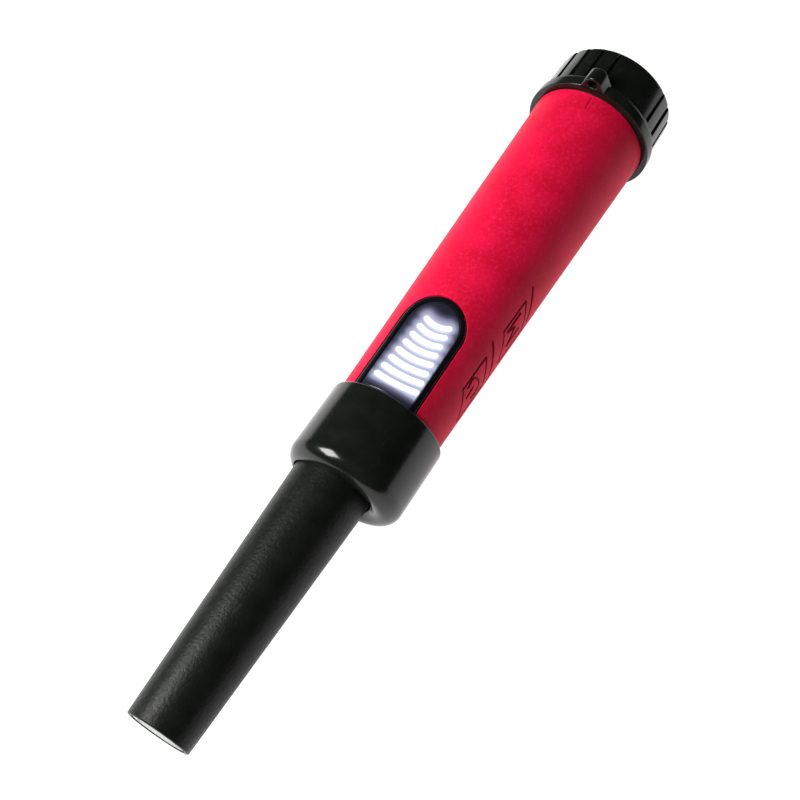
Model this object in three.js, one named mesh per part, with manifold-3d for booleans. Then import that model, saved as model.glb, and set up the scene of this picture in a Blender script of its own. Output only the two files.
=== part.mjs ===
// Pinpointer probe: a handheld metal detector for close work, lying on its battery cap's flange.
//
// Millimetres, +Z up. The tool lies along X, with its sensing tip at +X. The origin is under the
// middle of its length, on the surface that it lies on. A "station" is a distance back from the tip,
// and an angle around the tool is measured from +Z (top) towards +Y (the button side).

import * as THREE from "three";
import { mergeVertices } from "three/addons/utils/BufferGeometryUtils.js";
import Module from "manifold-3d";

const wasm = await Module();
wasm.setup();

// ---------------------------------------------------------------- driving dimensions

const LENGTH = 235;
const SIDES = 32; // facets of a large round piece, with one facet flat at the bottom
const GAP = 0.3; // clearance between pieces that touch

// Sensing tube: tapered, and off the grip's axis towards -Y
const TUBE_OFFSET_Y = -2.55;
const TIP_R = 9.07;
const TIP_CHAMFER = 0.35;
const TUBE_ROOT_R = 11.4;
const TUBE_TAPER_END = 78.4;
const TUBE_REAR = 82.4;
const TUBE_FLANGE_REAR = 84.3;
const TUBE_SIDES = 24;
const WEAR_DISC_R = 7.6;
const WEAR_DISC_REAR = 2.3;

// Coils on their bobbin, and the cable that leaves them
const ROD_R = 4.5;
const BOBBIN_BORE_R = 4.8;
const BOBBIN_BARREL_R = 5.5;
const BOBBIN_RIM_R = 6.9;
const BOBBIN_RIM = 1.2; // thickness of a rim
const BOBBIN_RIMS = [6, 32, 58];
const COIL_R = 6.7;
const CABLE_R = 1;
const CABLE_HEIGHT = 6.8; // above the tube's axis, along the coils

// Collar
const COLLAR_FRONT = 75.3; // the crest of its rounded front
const COLLAR_REAR = 99.8;
const COLLAR_R = 17.3;
const COLLAR_FILLET = 4.5; // from the crest out
const COLLAR_DISH = 4.1; // from the crest in to the tube
const COLLAR_ROUNDING = 1.1; // at the rear
const COLLAR_BORE_R = 14.35;
const COLLAR_WALL_END = 81.9;

// Grip shell and the inner housing under it
const SHELL_FRONT = 97.3;
const SHELL_REAR = 216;
const SHELL_FRONT_R = 15.73;
const SHELL_REAR_R = 18.38;
const HOUSING_FRONT = 86.1;
const HOUSING_STEP = 170.6;
const HOUSING_REAR = 229;
const HOUSING_R = 13.9;
const HOUSING_BORE_R = 12.5;
const BAY_R = 16.2; // outside of the battery bay and of the threaded neck
const BAY_BORE_R = 15.2;

// Display window: a plain outline with a round end, cut down from the top
const WINDOW_HALF = 9.75;
const WINDOW_ARCH = 124.2; // station of the round end's centre
const BEZEL_WIDTH = 2;
const LENS_RECESS = 0.3;
const LENS_THICKNESS = 1;
const BAR_COUNT = 8;
const BAR_PITCH = 3.05;
const BAR_WIDTH = 1.9;
const BAR_FIRST = 127.6; // station of the ends of the bar nearest the round end
const BAR_BOTTOM = 11.2; // height above the tool's axis
const BAR_TOP = 12.4;
const LED_BOARD_BOTTOM = 9.7;
const LED_BOARD_TOP = 10.9;

// Buttons: slanted pads on the +Y side
const BUTTON_ANGLE = 80;
const BUTTON_STATIONS = { power: 118.9, light: 140.3 };
const PAD_HALF_LENGTH = 6.8;
const PAD_HALF_WIDTH = 4;
const PAD_SLANT = 0.6; // how far the pad leans along the tool for each mm around it
const PAD_CHAMFER = 1.1;
const PAD_SKIRT = 0.9;
const GROOVE_BEHIND_PAD = 12.7; // station of the grip groove, behind a pad's middle

// Circuit board, square to the buttons' line of travel
const BOARD_BACK = 1.4;
const BOARD_FRONT = 3;
const BOARD_START = 104;
const BOARD_END = 168;

// Vibration motor
const MOTOR_R = 4;
const MOTOR_DEPTH = -7; // from the tool's axis, along the buttons' line
const WEIGHT_R = 3.6;

// Battery: a 9 V block, 48.5 mm over its terminals
const BATTERY_REAR = 229.4;
const BATTERY_WIDTH = 26.5;
const BATTERY_HEIGHT = 17.5;
const BATTERY_CASE = 46.4;
const TERMINAL_SPACING = 12.7;

// Battery cap and its thread
const FLANGE_R = 20.4;
const CAP_FRONT = SHELL_REAR + GAP;
const CAP_R = 19.4;
const CAP_REAR_R = 19.05;
const CAP_BORE_R = 17.3;
const CAP_FLOOR = 233;
const CAP_MOUTH_R = 18.4;
const CAP_MOUTH_END = 218.8;
const SEAL_R = 17.6;
const SEAL_SECTION_R = 0.55;
const GROOVE_GROUPS = 3;
const GROOVES_IN_GROUP = 5;
const GROOVE_SPACING = 16.5;
const FIRST_GROUP = -29; // angle of the first group's middle
const LUG_CROWN = 24.2;
const LUG_HOLE_R = 1.5;
const LUG_HOLE_HEIGHT = 21.7;
const THREAD_PITCH = 3;
const THREAD_TURNS = 1.75;
const THREAD_HEIGHT = 0.6;
const NECK_THREAD_START = 220.6;

const AXIS_HEIGHT = FLANGE_R * Math.cos(Math.PI / SIDES);

// ---------------------------------------------------------------- materials

const finish = (color, roughness, metalness = 0) =>
  new THREE.MeshStandardMaterial({ color, roughness, metalness });

const black = finish(0x101211, 0.32);
const gloss = finish(0x050608, 0.08);
const smoked = finish(0x0c1230, 0.05);
const red = finish(0xc8102e, 0.55);
const pale = finish(0xd8d8d2, 0.4);
const lit = finish(0xf4f6ff, 0.3);
const rubber = finish(0x1a1a1a, 0.8);
const foam = finish(0x2a2a2c, 0.95);
const ferrite = finish(0x2b2b2e, 0.7);
const natural = finish(0xe6e2d6, 0.5);
const copper = finish(0xb5622c, 0.35, 0.9);
const board = finish(0x0f5a32, 0.5);
const steel = finish(0xb8babd, 0.3, 1);
const brass = finish(0xb99a4b, 0.35, 1);
const sleeve = finish(0x23303c, 0.4);
const redWire = finish(0xb01818, 0.45);

// ---------------------------------------------------------------- geometry helpers

const station = (s) => LENGTH / 2 - s;
const radians = THREE.MathUtils.degToRad;

/** Position-only geometry with shared vertices, no collapsed triangles and its faces pointing out. */
function clean(geometry) {
  const bare = geometry.clone();
  bare.deleteAttribute("normal");
  bare.deleteAttribute("uv");
  const merged = mergeVertices(bare, 1e-4);
  const source = merged.index.array;
  const faces = [];
  for (let i = 0; i < source.length; i += 3) {
    const [a, b, c] = [source[i], source[i + 1], source[i + 2]];
    if (a !== b && b !== c && c !== a) faces.push([a, b, c]);
  }
  const corner = (i) => new THREE.Vector3().fromBufferAttribute(merged.attributes.position, i);
  let volume = 0;
  for (const [a, b, c] of faces) volume += corner(a).dot(corner(b).cross(corner(c)));
  const ordered = volume < 0 ? faces.map(([a, b, c]) => [a, c, b]) : faces;
  merged.setIndex(ordered.flat());
  return merged;
}

function toSolid(geometry) {
  const { attributes, index } = clean(geometry);
  const vertProperties = new Float32Array(attributes.position.array);
  const triVerts = new Uint32Array(index.array);
  return new wasm.Manifold(new wasm.Mesh({ numProp: 3, vertProperties, triVerts }));
}

function toGeometry(solid) {
  const mesh = solid.getMesh();
  const geometry = new THREE.BufferGeometry();
  geometry.setAttribute("position", new THREE.BufferAttribute(mesh.vertProperties, 3));
  geometry.setIndex(new THREE.BufferAttribute(mesh.triVerts, 1));
  return geometry;
}

const cut = (body, ...tools) =>
  toGeometry(tools.reduce((rest, tool) => rest.subtract(toSolid(tool)), toSolid(body)));
const join = (...bodies) => toGeometry(bodies.map(toSolid).reduce((sum, body) => sum.add(body)));
const common = (first, second) => toGeometry(toSolid(first).intersect(toSolid(second)));

/** A solid of revolution about the tool's axis. The profile is [station, radius] points. */
function revolve(profile, sides = SIDES) {
  const points = profile.map(([s, r]) => new THREE.Vector2(r, station(s)));
  if (profile[0][1] > 0) points.push(points[0].clone());
  const geometry = new THREE.LatheGeometry(points, sides, Math.PI / sides);
  return clean(geometry.rotateZ(-Math.PI / 2));
}

const ring = (from, to, inner, outer, sides) =>
  revolve([[from, inner], [from, outer], [to, outer], [to, inner]], sides);
const disc = (from, to, r, sides) => revolve([[from, 0], [from, r], [to, r], [to, 0]], sides);

/** Points on an arc of a profile, from one angle to another in degrees. */
function arc(centreStation, centreR, r, from, to, steps) {
  return Array.from({ length: steps + 1 }, (_, i) => {
    const angle = radians(from + ((to - from) * i) / steps);
    return [centreStation + r * Math.cos(angle), centreR + r * Math.sin(angle)];
  });
}

/** A box between two stations, in Y and Z from the tool's axis. */
function block(from, to, y0, y1, z0, z1) {
  const box = new THREE.BoxGeometry(to - from, y1 - y0, z1 - z0);
  return box.translate(station((from + to) / 2), (y0 + y1) / 2, (z0 + z1) / 2);
}

/** An outline in X and Y, carried up from one height to another. */
function prism(outline, bottom, top) {
  const shape = new THREE.Shape(outline.map(([x, y]) => new THREE.Vector2(x, y)));
  const solid = new THREE.ExtrudeGeometry(shape, { depth: top - bottom, bevelEnabled: false });
  return solid.translate(0, 0, bottom);
}

/** An upright round post at a station. */
function post(s, y, bottom, top, r, sides = 12) {
  const cylinder = new THREE.CylinderGeometry(r, r, top - bottom, sides);
  return cylinder.rotateX(Math.PI / 2).translate(station(s), y, (bottom + top) / 2);
}

/** A wire or cable of round section through points given as [station, y, z]. */
function wire(points, r, steps) {
  const path = new THREE.CatmullRomCurve3(
    points.map(([s, y, z]) => new THREE.Vector3(station(s), y, z)),
  );
  const circle = new THREE.Path().absarc(0, 0, r, 0, 2 * Math.PI);
  const section = new THREE.Shape(circle.getPoints(4).slice(0, -1));
  return new THREE.ExtrudeGeometry(section, { extrudePath: path, steps, bevelEnabled: false });
}

/** Turns a geometry around the tool's axis, so that its +Z points at an angle. */
const turned = (geometry, angle) => geometry.clone().rotateX(-radians(angle));

// ---------------------------------------------------------------- groups

const tool = new THREE.Group(); // at the tool's axis
tool.position.z = AXIS_HEIGHT;

const probe = new THREE.Group(); // at the sensing tube's axis
probe.position.y = TUBE_OFFSET_Y;

const boardFrame = new THREE.Group(); // its +Z is the buttons' line of travel
boardFrame.rotation.x = -radians(BUTTON_ANGLE);

tool.add(probe, boardFrame);

function piece(parent, name, geometry, material) {
  const mesh = new THREE.Mesh(clean(geometry), material.clone());
  mesh.name = name;
  parent.add(mesh);
}

// ---------------------------------------------------------------- sensing tube and its coils

function probeTube() {
  const outside = revolve(
    [
      [0, 0],
      [0, TIP_R - TIP_CHAMFER],
      [TIP_CHAMFER, TIP_R],
      [TUBE_TAPER_END, TUBE_ROOT_R],
      [TUBE_REAR, TUBE_ROOT_R],
      [TUBE_REAR, 0],
    ],
    TUBE_SIDES,
  );
  const flangeR = COLLAR_BORE_R - GAP;
  const flange = disc(TUBE_REAR - 0.2, TUBE_FLANGE_REAR, flangeR).translate(0, -TUBE_OFFSET_Y, 0);
  const seatR = WEAR_DISC_R + GAP;
  const seatRear = WEAR_DISC_REAR + GAP;
  const bore = revolve(
    [[-1, 0], [-1, seatR], [seatRear, seatR], [seatRear, seatR - 0.6], [85, 9.4], [85, 0]],
    TUBE_SIDES,
  );
  return cut(join(outside, flange), bore);
}

/** The disc that closes the tip, with a small chamfer round its face. */
function wearDisc() {
  const profile = [
    [0.2, 0],
    [0.2, WEAR_DISC_R - GAP],
    [0.5, WEAR_DISC_R],
    [WEAR_DISC_REAR, WEAR_DISC_R],
    [WEAR_DISC_REAR, 0],
  ];
  return revolve(profile, TUBE_SIDES);
}

/** A bobbin with a bay for a coil between each pair of rims. */
function coilBobbin() {
  const front = BOBBIN_RIMS[0];
  const rear = BOBBIN_RIMS[BOBBIN_RIMS.length - 1] + BOBBIN_RIM;
  const barrel = ring(front, rear, BOBBIN_BORE_R, BOBBIN_BARREL_R, 16);
  const rims = BOBBIN_RIMS.map((s) => ring(s, s + BOBBIN_RIM, BOBBIN_BORE_R, BOBBIN_RIM_R, 16));
  return join(barrel, ...rims);
}

/** A coil wound in a bay of the bobbin. */
function coil(bay) {
  const from = BOBBIN_RIMS[bay] + BOBBIN_RIM + GAP;
  return ring(from, BOBBIN_RIMS[bay + 1] - GAP, BOBBIN_BARREL_R + GAP, COIL_R, 16);
}

function rodSupport() {
  const hole = disc(60, 80, CABLE_R + 0.5, 8).translate(0, 0, CABLE_HEIGHT);
  return cut(ring(68, 71, ROD_R + GAP, 8.6, 16), hole);
}

/** The cable from the coils, through the collar, to the board. */
function coilCable() {
  const route = [
    [60, TUBE_OFFSET_Y, CABLE_HEIGHT],
    [72, TUBE_OFFSET_Y, CABLE_HEIGHT],
    [86, -1.5, 7],
    [98, 3.1, 7.8],
    [110, 3.28, 7.89],
  ];
  return wire(route, CABLE_R, 14);
}

piece(probe, "probe_tube", probeTube(), black);
piece(probe, "tip_cap", wearDisc(), pale);
piece(probe, "ferrite_rod", disc(5, 73, ROD_R, 12), ferrite);
piece(probe, "coil_bobbin", coilBobbin(), natural);
piece(probe, "transmit_coil", coil(0), copper);
piece(probe, "receive_coil", coil(1), copper);
piece(probe, "rod_support", rodSupport(), natural);
piece(tool, "coil_cable", coilCable(), rubber);

// ---------------------------------------------------------------- collar

function collar() {
  const fillet = COLLAR_FILLET;
  const rounding = COLLAR_ROUNDING;
  const dish = arc(COLLAR_FRONT + COLLAR_DISH, COLLAR_R - fillet, COLLAR_DISH, 270, 180, 4);
  const front = arc(COLLAR_FRONT + fillet, COLLAR_R - fillet, fillet, 180, 90, 5);
  const rear = arc(COLLAR_REAR - rounding, COLLAR_R - rounding, rounding, 90, 0, 2);
  const shellSeat = SHELL_FRONT_R + 0.32;
  const ringSolid = revolve([
    [COLLAR_FRONT + COLLAR_DISH, 6],
    ...dish,
    ...front.slice(1),
    ...rear,
    [COLLAR_REAR, shellSeat],
    [SHELL_FRONT - GAP, shellSeat],
    [SHELL_FRONT - GAP, COLLAR_BORE_R],
    [COLLAR_WALL_END, COLLAR_BORE_R],
    [COLLAR_WALL_END, 6],
  ]);
  const hole = disc(70, 90, TUBE_ROOT_R + GAP, TUBE_SIDES).translate(0, TUBE_OFFSET_Y, 0);
  return cut(ringSolid, hole);
}

piece(tool, "collar", collar(), black);
piece(tool, "collar_gasket", ring(84.6, 85.8, 12.3, HOUSING_R, SIDES), rubber);

// ---------------------------------------------------------------- outlines that several pieces share

const shellRadius = (s) =>
  SHELL_FRONT_R + ((SHELL_REAR_R - SHELL_FRONT_R) * (s - SHELL_FRONT)) / (SHELL_REAR - SHELL_FRONT);

/** The grip's outside surface, moved in by an inset, as a full solid. */
function gripSolid(inset = 0) {
  return revolve([
    [SHELL_FRONT, 0],
    [SHELL_FRONT, SHELL_FRONT_R - inset],
    [SHELL_REAR, SHELL_REAR_R - inset],
    [SHELL_REAR, 0],
  ]);
}

/** The window's outline, from a front station to its round end, moved in by an inset. */
function windowOutline(front, inset) {
  const half = WINDOW_HALF - inset;
  const outline = [[station(front), -half]];
  const steps = 12;
  for (let i = 0; i <= steps; i += 1) {
    const angle = Math.PI / 2 - (Math.PI * i) / steps;
    outline.push([station(WINDOW_ARCH) - half * Math.cos(angle), -half * Math.sin(angle)]);
  }
  return [...outline, [station(front), half]];
}

/** A pad's slanted outline about a station, grown by a margin. */
function padOutline(middle, margin = 0) {
  const length = PAD_HALF_LENGTH + margin;
  const width = PAD_HALF_WIDTH + margin;
  const lean = PAD_SLANT * width;
  const near = station(middle + lean);
  const far = station(middle - lean);
  return [
    [near + length - PAD_CHAMFER, -width],
    [near + length - PAD_CHAMFER * PAD_SLANT, -width + PAD_CHAMFER],
    [far + length, width],
    [far - length, width],
    [near - length, -width],
  ];
}

/** The slanted groove in the grip behind a pad. */
function gripGroove(middle) {
  const half = 4.8; // across the tool
  const width = 0.5;
  const x = station(middle + GROOVE_BEHIND_PAD - 2.4);
  const lean = PAD_SLANT * half;
  const depth = shellRadius(middle + GROOVE_BEHIND_PAD) - 0.9;
  return prism(
    [[x - lean - width, -half], [x - lean, -half], [x + lean, half], [x + lean - width, half]],
    depth,
    depth + 5,
  );
}

// ---------------------------------------------------------------- grip shell and inner housing

const pads = Object.values(BUTTON_STATIONS);

function gripShell() {
  const bore = HOUSING_R + GAP;
  const bay = BAY_R + GAP;
  const tube = revolve([
    [SHELL_FRONT, bore],
    [SHELL_FRONT, SHELL_FRONT_R],
    [SHELL_REAR, SHELL_REAR_R],
    [SHELL_REAR, bay],
    [HOUSING_STEP - GAP, bay],
    [HOUSING_STEP - GAP, bore],
  ]);
  return cut(
    tube,
    prism(windowOutline(SHELL_FRONT - 3, 0), 5, 25),
    ...pads.map((s) => turned(prism(padOutline(s), 5, 25), BUTTON_ANGLE)),
    ...pads.map((s) => turned(gripGroove(s), BUTTON_ANGLE)),
  );
}

/** One thread ridge: a helix of four-sided section, from its root radius to its tip radius. */
function threadRidge(start, rootR, tipR) {
  const [rootHalf, tipHalf] = [0.7, 0.4];
  const count = Math.round(THREAD_TURNS * SIDES);
  const positions = [];
  for (let i = 0; i <= count; i += 1) {
    const angle = (2 * Math.PI * (i + 0.5)) / SIDES;
    const s = start + (THREAD_PITCH * i) / SIDES;
    for (const [r, half] of [[rootR, -rootHalf], [tipR, -tipHalf], [tipR, tipHalf], [rootR, rootHalf]]) {
      positions.push(station(s + half), r * Math.sin(angle), r * Math.cos(angle));
    }
  }
  const faces = [0, 1, 2, 0, 2, 3];
  for (let i = 0; i < count; i += 1) {
    for (let k = 0; k < 4; k += 1) {
      const [a, b] = [4 * i + k, 4 * i + ((k + 1) % 4)];
      faces.push(a, a + 4, b, b, a + 4, b + 4);
    }
  }
  const last = 4 * count;
  faces.push(last, last + 2, last + 1, last, last + 3, last + 2);
  const geometry = new THREE.BufferGeometry();
  geometry.setAttribute("position", new THREE.Float32BufferAttribute(positions, 3));
  geometry.setIndex(faces);
  return geometry;
}

function innerHousing() {
  const tube = revolve([
    [HOUSING_FRONT, HOUSING_BORE_R],
    [HOUSING_FRONT, HOUSING_R],
    [HOUSING_STEP, HOUSING_R],
    [HOUSING_STEP, BAY_R],
    [HOUSING_REAR - 0.4, BAY_R],
    [HOUSING_REAR, BAY_R - 0.4],
    [HOUSING_REAR, BAY_BORE_R],
    [173.8, BAY_BORE_R],
    [171.6, HOUSING_BORE_R],
  ]);
  const windowHole = block(103.6, 131.4, -8.4, 8.4, 5, 20);
  const padHoles = pads.map((s) => turned(prism(padOutline(s, GAP), 5, 20), BUTTON_ANGLE));
  const ridge = threadRidge(NECK_THREAD_START, BAY_R - 0.3, BAY_R + THREAD_HEIGHT);
  return join(cut(tube, windowHole, ...padHoles), ridge);
}

piece(tool, "grip_shell", gripShell(), red);
piece(tool, "inner_housing", innerHousing(), black);

// ---------------------------------------------------------------- display window

function windowBezel() {
  const wall = cut(gripSolid(), gripSolid(BEZEL_WIDTH - 0.4).scale(1.01, 1, 1));
  const frame = cut(
    prism(windowOutline(SHELL_FRONT + 0.2, GAP), 5, 25),
    prism(windowOutline(102.6, BEZEL_WIDTH), 0, 30),
  );
  return common(wall, frame);
}

function windowLens() {
  const outer = gripSolid(LENS_RECESS);
  const inner = gripSolid(LENS_RECESS + LENS_THICKNESS).scale(1.01, 1, 1);
  return common(cut(outer, inner), prism(windowOutline(102.9, BEZEL_WIDTH + GAP), 5, 25));
}

/** A light bar in plan: a strip that bends back at its ends, with rounded ends. */
function lightBar(number) {
  const share = number / (BAR_COUNT - 1);
  const half = THREE.MathUtils.lerp(3.95, 7, share) - BAR_WIDTH / 2;
  const sag = THREE.MathUtils.lerp(1.3, 0.6, share);
  const ends = station(BAR_FIRST - BAR_PITCH * number);
  const bend = (half * half + sag * sag) / (2 * sag);
  const sweep = Math.asin(half / bend);
  const centre = ends + sag - bend;
  const along = (r, angle) => [centre + r * Math.cos(angle), r * Math.sin(angle)];
  const steps = 6;
  const outline = [];
  for (let i = 0; i <= steps; i += 1) {
    outline.push(along(bend + BAR_WIDTH / 2, -sweep + (2 * sweep * i) / steps));
  }
  const cap = (angle, side) => {
    const [x, y] = along(bend, angle);
    const tip = angle + (side * Math.PI) / 2;
    return [x + (BAR_WIDTH / 2) * Math.cos(tip), y + (BAR_WIDTH / 2) * Math.sin(tip)];
  };
  outline.push(cap(sweep, 1));
  for (let i = 0; i <= steps; i += 1) {
    outline.push(along(bend - BAR_WIDTH / 2, sweep - (2 * sweep * i) / steps));
  }
  outline.push(cap(-sweep, -1));
  return prism(outline, BAR_BOTTOM, BAR_TOP);
}

piece(tool, "window_bezel", windowBezel(), gloss);
piece(tool, "window_lens", windowLens(), smoked);
for (let i = 0; i < BAR_COUNT; i += 1) piece(tool, `light_bar_${i + 1}`, lightBar(i), lit);
piece(tool, "led_board", block(104.4, 130.8, -8, 8, LED_BOARD_BOTTOM, LED_BOARD_TOP), board);

// ---------------------------------------------------------------- buttons and their switches

const SKIRT_BOTTOM = 9.7;
const SKIRT_TOP = 10.8;
const STEM_END = 8.3;
const STEM_R = 1.7;
const SWITCH_BOTTOM = BOARD_FRONT + GAP;
const SWITCH_TOP = 6.8;

/** A rubber key: its face follows the grip, and a skirt under the housing holds it in. */
function buttonPad(middle) {
  const face = common(turned(prism(padOutline(middle, -GAP), SKIRT_BOTTOM, 25), BUTTON_ANGLE), gripSolid());
  const skirt = prism(padOutline(middle, PAD_SKIRT), SKIRT_BOTTOM, SKIRT_TOP);
  const stem = post(middle, 0, STEM_END, SKIRT_BOTTOM + 0.5, STEM_R);
  return join(face, turned(skirt, BUTTON_ANGLE), turned(stem, BUTTON_ANGLE));
}

function switchBody(middle) {
  const body = block(middle - 3, middle + 3, -3, 3, SWITCH_BOTTOM, SWITCH_TOP);
  return cut(body, post(middle, 0, SWITCH_BOTTOM + 0.6, SWITCH_TOP + 1, STEM_R + GAP));
}

for (const [use, middle] of Object.entries(BUTTON_STATIONS)) {
  piece(tool, `${use}_button_pad`, buttonPad(middle), red);
  piece(boardFrame, `${use}_switch_body`, switchBody(middle), steel);
  piece(boardFrame, `${use}_switch_plunger`, post(middle, 0, 5, STEM_END - GAP, STEM_R), natural);
}

// ---------------------------------------------------------------- main board, bulkheads and screws

const SCREW_Y = 3.5;
const SCREW_STATIONS = [106.9, 165.1];
const FOOT_BOTTOM = -3;
const SCREW_HOLE_R = 1.3;

const screwPlaces = SCREW_STATIONS.flatMap((s) => [[s, -SCREW_Y], [s, SCREW_Y]]);

function mainBoard() {
  const plate = block(BOARD_START, BOARD_END, -8.5, 10, BOARD_BACK, BOARD_FRONT);
  return cut(plate, ...screwPlaces.map(([s, y]) => post(s, y, 0, 5, SCREW_HOLE_R)));
}

/** A screw, head up, turned about its own line. */
function boardScrew() {
  const points = [[0, -2], [1, -2], [1, 3.3], [1.9, 3.3], [1.9, 4.3], [1.4, 4.7], [0, 4.7]];
  const lathe = new THREE.LatheGeometry(points.map(([r, z]) => new THREE.Vector2(r, z)), 10);
  return lathe.rotateX(Math.PI / 2);
}

const footHole = ([s, y]) => post(s, y, FOOT_BOTTOM + 0.7, 2, SCREW_HOLE_R);

function frontBulkhead() {
  const plate = turned(disc(101.4, 103.6, HOUSING_BORE_R - GAP, SIDES), -BUTTON_ANGLE);
  const foot = block(103.4, 109.6, -6, 6, FOOT_BOTTOM, BOARD_BACK - GAP);
  const cableHole = turned(disc(95, 110, 1.7, 8).translate(0, 3.2, 7.85), -BUTTON_ANGLE);
  return cut(join(plate, foot), cableHole, ...screwPlaces.slice(0, 2).map(footHole));
}

function rearBulkhead() {
  const plate = turned(disc(168.3, 170.8, HOUSING_BORE_R - GAP, SIDES), -BUTTON_ANGLE);
  const foot = block(162.4, 168.5, -6, 6, FOOT_BOTTOM, BOARD_BACK - GAP);
  const cup = ring(163.6, 168.6, MOTOR_R + GAP, MOTOR_R + 0.95, 16).translate(0, 0, MOTOR_DEPTH);
  const clearance = disc(150, 168.2, MOTOR_R + GAP, 16).translate(0, 0, MOTOR_DEPTH);
  const leadHoles = [-7, 7].map((y) => disc(160, 175, 1.2, 8).translate(0, y, 5.5));
  return cut(join(plate, foot, cup), clearance, ...leadHoles, ...screwPlaces.slice(2).map(footHole));
}

piece(boardFrame, "main_board", mainBoard(), board);
piece(boardFrame, "front_bulkhead", frontBulkhead(), black);
piece(boardFrame, "rear_bulkhead", rearBulkhead(), black);
screwPlaces.forEach(([s, y], i) => {
  piece(boardFrame, `board_screw_${i + 1}`, boardScrew().translate(station(s), y, 0), steel);
});

const COMPONENT_TOP = BOARD_BACK - GAP;

piece(boardFrame, "microcontroller", block(114, 124, -5, 5, -0.4, COMPONENT_TOP), black);
piece(boardFrame, "amplifier_chip", block(126.5, 131.5, -7.5, -3.5, -0.5, COMPONENT_TOP), black);
piece(boardFrame, "piezo_buzzer", post(143, 0, -3.4, COMPONENT_TOP, 6, 20), black);
[-1, 1].forEach((side, i) => {
  const top = side < 0 ? COMPONENT_TOP - 1.6 : COMPONENT_TOP;
  const can = post(132 + 2 * side, 2 + 3.6 * side, -5.9, top, 2.3);
  piece(boardFrame, `capacitor_${i + 1}`, can, sleeve);
});

// ---------------------------------------------------------------- vibration motor

/** A half disc on the motor's shaft, with its heavy side down. */
function eccentricWeight() {
  const boss = disc(152.6, 155.6, 1.9, 16);
  const full = disc(152.6, 155.6, WEIGHT_R, 24);
  const half = common(full, block(150, 158, -5, 5, -5, 0));
  return cut(join(boss, half), disc(150, 158, 0.8, 12));
}

const motorY = MOTOR_DEPTH * Math.sin(radians(BUTTON_ANGLE));
const motorZ = MOTOR_DEPTH * Math.cos(radians(BUTTON_ANGLE));
const motor = new THREE.Group();
motor.position.set(0, motorY, motorZ);
tool.add(motor);

piece(motor, "vibration_motor", disc(156.8, 167.9, MOTOR_R, 20), steel);
piece(motor, "motor_shaft", disc(151.9, 156.5, 0.5, 10), steel);
piece(motor, "eccentric_weight", eccentricWeight(), brass);

// ---------------------------------------------------------------- battery and its connection

function batteryCase() {
  const [w, h, r] = [BATTERY_WIDTH / 2, BATTERY_HEIGHT / 2, 2.5];
  const shape = new THREE.Shape();
  shape.absarc(w - r, h - r, r, 0, Math.PI / 2);
  shape.absarc(r - w, h - r, r, Math.PI / 2, Math.PI);
  shape.absarc(r - w, r - h, r, Math.PI, 1.5 * Math.PI);
  shape.absarc(w - r, r - h, r, 1.5 * Math.PI, 2 * Math.PI);
  const outline = shape.extractPoints(4).shape;
  const solid = prism(outline.map((p) => [p.x, p.y]), 0, BATTERY_CASE);
  return solid.rotateZ(Math.PI / 2).rotateY(Math.PI / 2).translate(station(BATTERY_REAR), 0, 0);
}

const TERMINAL_REAR = BATTERY_REAR - BATTERY_CASE - GAP;
const CONNECTOR_REAR = TERMINAL_REAR - 2 - GAP;
const terminal = (side, r) =>
  disc(TERMINAL_REAR - 2, TERMINAL_REAR, r, 12).translate(0, (side * TERMINAL_SPACING) / 2, 0);

/** A battery lead from the snap connector to the board, on one side of the board's middle. */
function batteryLead(side) {
  const y = 7 * side;
  const route = [
    [CONNECTOR_REAR - 3.9, y, 4.2],
    [173, y, 5.4],
    [168, y, 5.5],
    [164, y, 4.6],
    [159, y, 4.2],
  ];
  return wire(route, 0.7, 10);
}

piece(tool, "battery", batteryCase(), sleeve);
piece(tool, "battery_terminal_positive", terminal(-1, 2.9), steel);
piece(tool, "battery_terminal_negative", terminal(1, 3.6), steel);
piece(tool, "snap_connector", block(CONNECTOR_REAR - 3.5, CONNECTOR_REAR, -12, 12, -6.2, 6.2), black);
piece(boardFrame, "battery_lead_red", batteryLead(-1), redWire);
piece(boardFrame, "battery_lead_black", batteryLead(1), rubber);

// ---------------------------------------------------------------- battery cap

function lanyardLug() {
  const crownR = 3.1;
  const centre = LUG_CROWN - crownR;
  const outline = [[-4.2, 19]];
  for (let i = 0; i <= 8; i += 1) {
    const angle = radians(165 - (150 * i) / 8);
    outline.push([crownR * Math.cos(angle), centre + crownR * Math.sin(angle)]);
  }
  outline.push([4.2, 19]);
  const solid = prism(outline, 0, 5);
  return solid.rotateX(Math.PI / 2).rotateZ(Math.PI / 2).translate(station(CAP_FRONT + 5), 0, 0);
}

function capGrooves() {
  const grooves = [];
  for (let group = 0; group < GROOVE_GROUPS; group += 1) {
    for (let i = 0; i < GROOVES_IN_GROUP; i += 1) {
      const angle = FIRST_GROUP + (360 / GROOVE_GROUPS) * group + GROOVE_SPACING * (i - 2);
      grooves.push(turned(block(221.6, 236, -0.8, 0.8, CAP_REAR_R - 0.6, CAP_REAR_R + 2), angle));
    }
  }
  return grooves;
}

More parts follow.
